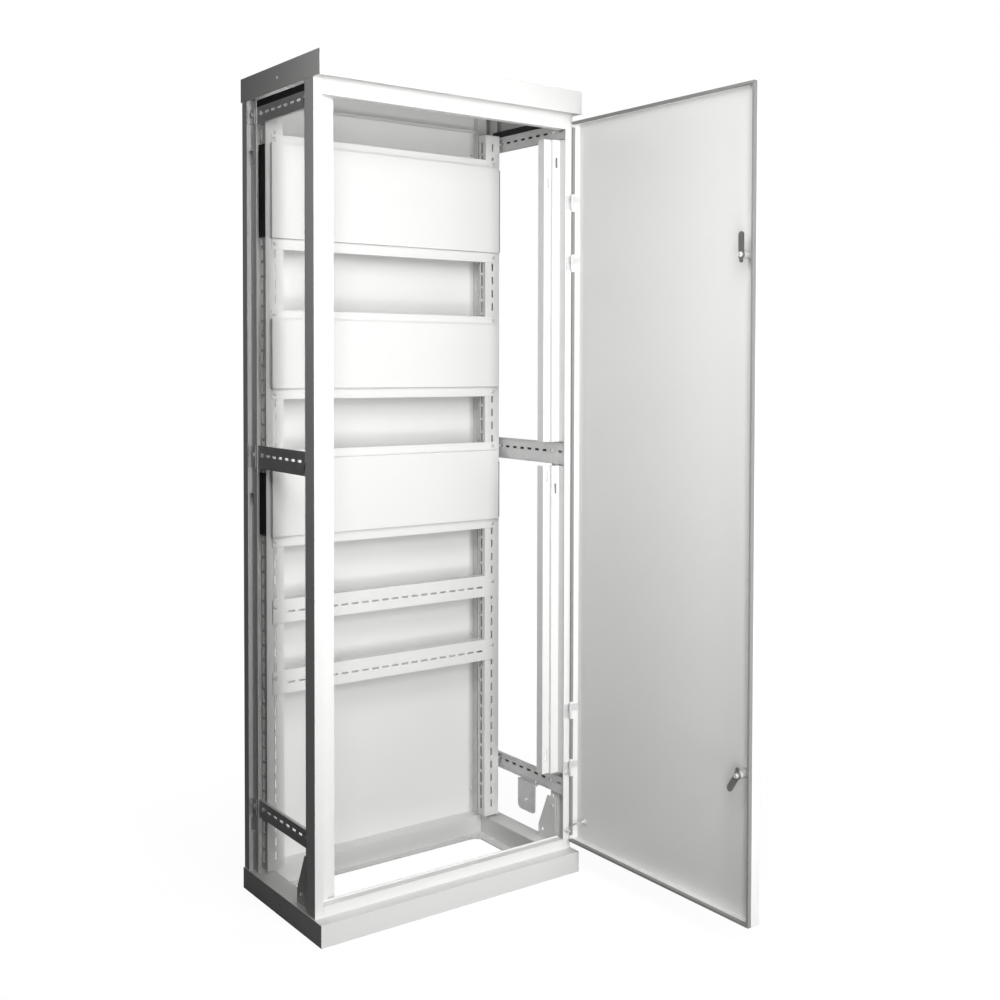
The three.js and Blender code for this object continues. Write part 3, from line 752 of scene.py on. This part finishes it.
def sweep(name, points, radius):
    """A round tube along a smooth curve through the points, as a mesh."""
    curve = bpy.data.curves.new(name, "CURVE")
    curve.dimensions, curve.bevel_depth, curve.bevel_resolution = "3D", radius, 5
    curve.use_fill_caps = True
    spline = curve.splines.new("BEZIER")
    spline.bezier_points.add(len(points) - 1)
    for knot, point in zip(spline.bezier_points, points, strict=True):
        knot.co = point
        knot.handle_left_type = knot.handle_right_type = "AUTO"
    path = bpy.data.objects.new(name, curve)
    scene.collection.objects.link(path)
    bpy.context.view_layer.update()
    mesh = bpy.data.meshes.new_from_object(path)
    bpy.data.objects.remove(path)
    return mesh


leaving_frame = Vector((math.sin(math.radians(60)), 0, 0.5))
start = frame_post + LEAD_OFF * out_of_frame + LUG_REACH * leaving_frame
finish_at = door_post + LEAD_OFF * out_of_door + Vector((0, 0.0045, -0.0080))
slack = Vector((-0.007, -0.008, 0.010))
middle = (start + finish_at) / 2 + slack
lead_mesh = sweep("door_bonding_lead", [start, middle, finish_at], LEAD_RADIUS)
lead_mesh.shade_smooth()
lead_mesh.materials.clear()
lead_mesh.materials.append(lead_sheath)
lead = bpy.data.objects.new("door_bonding_lead", lead_mesh)
scene.collection.objects.link(lead)
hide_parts("bonding_lead")
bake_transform(lead)
print("lead from", [round(v, 3) for v in start], "to", [round(v, 3) for v in finish_at])

# %% [markdown]
# ## Edge trim
# A cut sheet edge would chafe the frame, so a soft rubber profile is pushed over the door's
# hinge-side lip; its dark grey also paints the shade of the gap between the door and the frame.
# Its section is a narrow C that grips the sheet. It is cut into lengths that stop short of each
# hinge, so nothing is pinched when the door shuts.

# %% Trim between the hinges
TRIM_DEPTH, TRIM_HEIGHT, TRIM_BACK, TRIM_WALL = 0.008, 0.0044, 0.0014, 0.0011
TRIM_END, BELOW_HINGE, ABOVE_HINGE = 0.012, 0.004, 0.006
PAST_LIP, BELOW_SHEET = 0.0016, 0.0032
TRIM = [(0, 0), (0, TRIM_HEIGHT), (TRIM_DEPTH, TRIM_HEIGHT), (TRIM_DEPTH, TRIM_HEIGHT - TRIM_WALL),
        (TRIM_BACK, TRIM_HEIGHT - TRIM_WALL), (TRIM_BACK, TRIM_WALL), (TRIM_DEPTH, TRIM_WALL),
        (TRIM_DEPTH, 0)]
lip_low, lip_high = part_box("door_shell")
print("door lip", [round(v, 4) for v in lip_low], [round(v, 4) for v in lip_high])
edges = [lip_low.z + TRIM_END]
for number in sorted(HINGES, key=lambda n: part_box(f"hinge_{n}_frame_half")[0].z):
    edges.append(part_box(f"hinge_{number}_frame_half")[0].z - BELOW_HINGE)
    edges.append(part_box(f"hinge_{number}_door_half")[1].z + ABOVE_HINGE)
edges.append(lip_high.z - TRIM_END)
# the trim's dark grey also paints the shade line of the gap between door and frame
for number, (foot, head) in enumerate(zip(edges[::2], edges[1::2]), 1):
    spot = (lip_low.x - PAST_LIP, lip_high.y - BELOW_SHEET, foot)
    profile_piece(f"door_gap_shade_trim_{number}", TRIM, head - foot, seal_foam, spot,
                  "door")
print("lengths of trim:", len(edges) // 2)

# %% [markdown]
# ## Painted shade behind the slots
# The right-hand side rails read dark through their slots: a thin near-black strip behind the web
# paints the shade seen through them.

# %% Painted-shade strips on the right-hand side rails
STRIP_FRONT, STRIP_REAR, STRIP_SHEET, STRIP_HEIGHT = 0.088, 0.357, 0.0011, 0.014
STRIP_GAP = 0.0002
STRIP = [(0, STRIP_FRONT), (STRIP_SHEET, STRIP_FRONT), (STRIP_SHEET, STRIP_REAR), (0, STRIP_REAR)]
# painted shade: a near-black strip behind each right-hand rail's slots
for level in LEVELS:
    rail_low, rail_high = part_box(f"side_rail_{level}_right")
    spot = (rail_high.x + STRIP_GAP, 0, slot_height(rail_low, rail_high) - STRIP_HEIGHT / 2)
    profile_piece(f"side_rail_{level}_right_shade_strip", STRIP, STRIP_HEIGHT, painted_shade_steel, spot,
                  edge=0.0003)
print("strips placed:", len(LEVELS))

# %% [markdown]
# ## Painted shade behind the covers
# Near-black plates against the outer walls of the uprights paint the shade behind the upper and
# lower covers. They are plain strips with a fold, made with the same prism as the trim.

# %% Painted-shade plates beside the covers
SHADE_PLATE_FRONT, SHADE_PLATE_REAR, SHADE_PLATE_FOLD, SHADE_PLATE_SHEET = 0.330, 0.366, 0.006, 0.0015
SHADE_PLATE_GAP, END_GAP = 0.0004, 0.002
SHADE_PLATE = [(0, SHADE_PLATE_FRONT), (SHADE_PLATE_SHEET, SHADE_PLATE_FRONT),
          (SHADE_PLATE_SHEET, SHADE_PLATE_REAR + SHADE_PLATE_SHEET), (-SHADE_PLATE_FOLD, SHADE_PLATE_REAR + SHADE_PLATE_SHEET),
          (-SHADE_PLATE_FOLD, SHADE_PLATE_REAR), (0, SHADE_PLATE_REAR)]
# painted shade: near-black plates beside the covers, where only shade falls
for level, shorter in (("upper", 0.0), ("lower", 0.030)):
    cover_low, cover_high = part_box(f"cover_panel_{level}")
    for side, word in SIDES:
        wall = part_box(f"upright_{word}")[0 if side < 0 else 1].x + side * SHADE_PLATE_GAP
        outline = [(side * x, y) for x, y in SHADE_PLATE]
        height = cover_high.z - shorter - cover_low.z - 2 * END_GAP
        profile_piece(f"cover_shade_plate_{level}_{word}", outline, height, painted_shade_steel,
                      (wall, 0, cover_low.z + END_GAP), edge=0.0004)
print("shade_plates placed")

# %% [markdown]
# ## Painted shade under the cap
# Between each top side rail and the cap a near-black foam strip fills the gap and paints the
# cap's shadow there. It is the same kind of prism, laid along the depth of the cabinet by turning
# its axes.

# %% Painted-shade strips between the cap and the top side rails
ALONG_Y = Matrix(((-1, 0, 0), (0, 0, 1), (0, 1, 0))).to_4x4()
CAP_SHADE_FRONT, CAP_SHADE_LENGTH, CAP_SHADE_HALF, WAIST = 0.070, 0.300, 0.0022, 0.0008
CAP_SHADE_GAP, CAP_SHADE_SHIFT, WAIST_UP = 0.0006, 0.0008, 0.0012
cap_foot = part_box("roof_cap")[0].z
# painted shade: a near-black strip in the shaded gap under the cap
for side, word in SIDES:
    rail_low, rail_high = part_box(f"side_rail_top_{word}")
    middle_x = (rail_low.x + rail_high.x) / 2 + side * CAP_SHADE_SHIFT
    height = cap_foot - rail_high.z - 2 * CAP_SHADE_GAP
    outline = [(-CAP_SHADE_HALF, 0), (-WAIST, WAIST_UP), (-CAP_SHADE_HALF, height),
               (CAP_SHADE_HALF, height), (WAIST, WAIST_UP), (CAP_SHADE_HALF, 0)]
    spot = Matrix.Translation((middle_x, CAP_SHADE_FRONT, rail_high.z + CAP_SHADE_GAP)) @ ALONG_Y
    profile_piece(f"cap_shade_strip_{word}", outline, CAP_SHADE_LENGTH, painted_shade_foam, spot)
print("cap_shade_strips placed")
